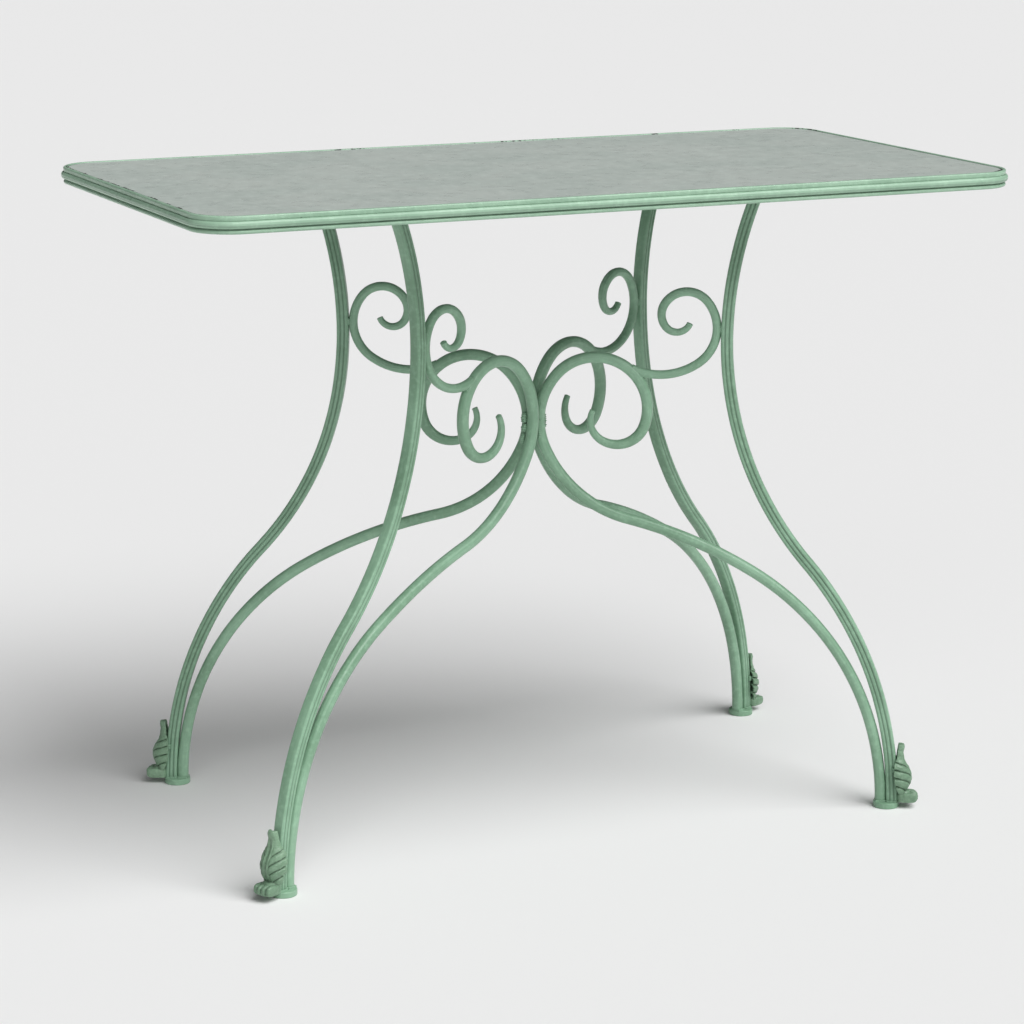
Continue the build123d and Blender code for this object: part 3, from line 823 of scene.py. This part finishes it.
# ---------------------------------------------------------------- welds
# Short hand-laid beads hold the castings and the scrolls, and more run down the valleys where the
# bars meet in the middle: lumpy above, with a straight run of rod left in below. All are painted.
CROTCH_AHEAD = 13               # where the small scroll leaves the large one, in mm
CROTCH_DROP = 3.5
for number, name in enumerate(CORNERS):
    pair = FRAMES[name][1]
    foot_r = pair["leg"][0]
    for side in (-1, 1):
        label = "ab"[side > 0] + "_" + name
        path = [(foot_r + 2.0, side * 7.4, 43.5), (foot_r + 1.4, side * 8.0, 50.5)]
        bead = weld_bead("leaf_bead_" + label, name, path, 1.9, 0.25, number + side * 0.4)
        if side < 0:
            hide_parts("leaf_weld_" + name)
    curl = bend(*pair["small"], SMALL_STEP)
    touch = max(curl, key=lambda stop: stop[0])
    meet = touch[0] + SMALL_SIZE / 2
    for side in (-1, 1):
        label = "ab"[side > 0] + "_" + name
        path = [(meet, side * 3.0, touch[1] - 4.5), (meet, side * 3.2, touch[1] + 4.5)]
        bead = weld_bead("waist_bead_" + label, name, path, 1.8, 0.22, number + side)
        if side < 0:
            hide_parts("scroll_weld_" + name)
    start_point, heading, arcs = pair["small"]
    crotch_r = start_point[0] + CROTCH_AHEAD * math.cos(math.radians(heading))
    crotch_z = start_point[1] + CROTCH_AHEAD * math.sin(math.radians(heading)) - CROTCH_DROP
    path = [(crotch_r, -4.6, crotch_z), (crotch_r + 0.4, 0, crotch_z + 0.3), (crotch_r, 4.6, crotch_z)]
    bead = weld_bead("crotch_bead_" + name, name, path, 2.2, 0.2, number + 4.0)
    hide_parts("join_weld_" + name)

FRAMES["middle"] = (0.0, {"outwards": 0.0, "sideways": 0.0})
CENTRE_BEADS = [                # turn about the middle, thickness, and points in mm
    (0, 2.7, [(-13.6, -4.6, 473.0), (-14.5, -4.9, 467.0), (-13.7, -4.3, 461.0)]),
    (0, 3.2, [(-13.9, -4.6, 460.0), (-13.4, -5.2, 455.0), (-14.2, -4.6, 449.5)]),
    (0, 2.9, [(-14.9, -4.4, 448.0), (-16.4, -4.8, 435.0)]),
    (180, 3.1, [(-13.4, -4.2, 470.0), (-13.7, -4.0, 462.0), (-13.9, -4.4, 450.5)]),
    (180, 2.7, [(-14.2, -4.2, 449.0), (-15.3, -4.6, 438.0)]),
    (0, 1.9, [(2.6, -10.6, 464.0), (2.8, -10.9, 442.0)]),
    (180, 1.9, [(2.6, -10.6, 464.0), (2.8, -10.9, 442.0)]),
]
for number, (turn, radius, path) in enumerate(CENTRE_BEADS):
    way = 1 if turn == 0 else -1
    path = [(way * x, way * y, z) for x, y, z in path]
    ripple = 0.05 if len(path) == 2 else 0.55       # a straight rod, or lumps of weld
    bead = weld_bead("centre_bead_%d" % number, "middle", path, radius, ripple, number + 7.0)
    if number == 0:
        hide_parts("centre_welds")

# ---------------------------------------------------------------- floor, light and camera
# A pale floor and plain studio light: one broad soft source high up on the right of the front, a weak
# low one on its left, and a little light from everywhere.
FLOOR_HALF = 30.0
FLOOR_COLOUR = (0.84, 0.84, 0.84, 1)
FLOOR_ROUGHNESS = 0.95
FLOOR_SHINE = 0.1
WORLD_STRENGTH = 0.10
floor_mesh = bpy.data.meshes.new("studio_floor")
floor_corners = [(-FLOOR_HALF, -FLOOR_HALF, 0), (FLOOR_HALF, -FLOOR_HALF, 0), (FLOOR_HALF, FLOOR_HALF, 0),
                 (-FLOOR_HALF, FLOOR_HALF, 0)]
floor_mesh.from_pydata(floor_corners, [], [(0, 1, 2, 3)])
floor = bpy.data.objects.new("studio_floor", floor_mesh)
bpy.context.scene.collection.objects.link(floor)
floor_paint = bpy.data.materials.new("studio_floor")
floor_paint.use_nodes = True
floor_shader = floor_paint.node_tree.nodes["Principled BSDF"]
floor_shader.inputs["Base Color"].default_value = FLOOR_COLOUR
floor_shader.inputs["Roughness"].default_value = FLOOR_ROUGHNESS
floor_shader.inputs["Specular IOR Level"].default_value = FLOOR_SHINE
floor_mesh.materials.append(floor_paint)


def far_lamp(name, azimuth, elevation, spread, strength):
    """A broad soft source a long way off. Azimuth 0 stands in front of the long side, 90 on the right."""
    data = bpy.data.lights.new(name, "SUN")
    data.angle = math.radians(spread)
    data.energy = strength
    lamp = bpy.data.objects.new(name, data)
    bpy.context.scene.collection.objects.link(lamp)
    a, e = math.radians(azimuth), math.radians(elevation)
    towards = Vector((math.sin(a) * math.cos(e), -math.cos(a) * math.cos(e), math.sin(e)))
    lamp.rotation_mode = "QUATERNION"
    lamp.rotation_quaternion = towards.to_track_quat("Z", "Y")


far_lamp("lamp_high", 30, 54, 50, 3.1)
far_lamp("lamp_front", -20, 24, 60, 0.7)
world = bpy.data.worlds.new("studio")
world.use_nodes = True
world.node_tree.nodes["Background"].inputs["Color"].default_value = (1, 1, 1, 1)
world.node_tree.nodes["Background"].inputs["Strength"].default_value = WORLD_STRENGTH
bpy.context.scene.world = world
bpy.context.scene.view_settings.view_transform = "Standard"

CAMERA_PLACE = (-1.627, -3.434, 1.220)
CAMERA_YAW = -24.975
CAMERA_PITCH = 12.88
CAMERA_ROLL = 0.16
CAMERA_LENS = 115.9
camera_data = bpy.data.cameras.new("camera")
camera_data.sensor_width = 36
camera_data.lens = CAMERA_LENS
camera = bpy.data.objects.new("camera", camera_data)
bpy.context.scene.collection.objects.link(camera)
camera.location = CAMERA_PLACE
yaw, pitch, roll = (math.radians(v) for v in (CAMERA_YAW, CAMERA_PITCH, CAMERA_ROLL))
ahead = Vector((-math.sin(yaw) * math.cos(pitch), math.cos(yaw) * math.cos(pitch), -math.sin(pitch)))
camera.rotation_mode = "QUATERNION"
camera.rotation_quaternion = ahead.to_track_quat("-Z", "Y") @ Quaternion((0, 0, 1), roll)
bpy.context.scene.camera = camera
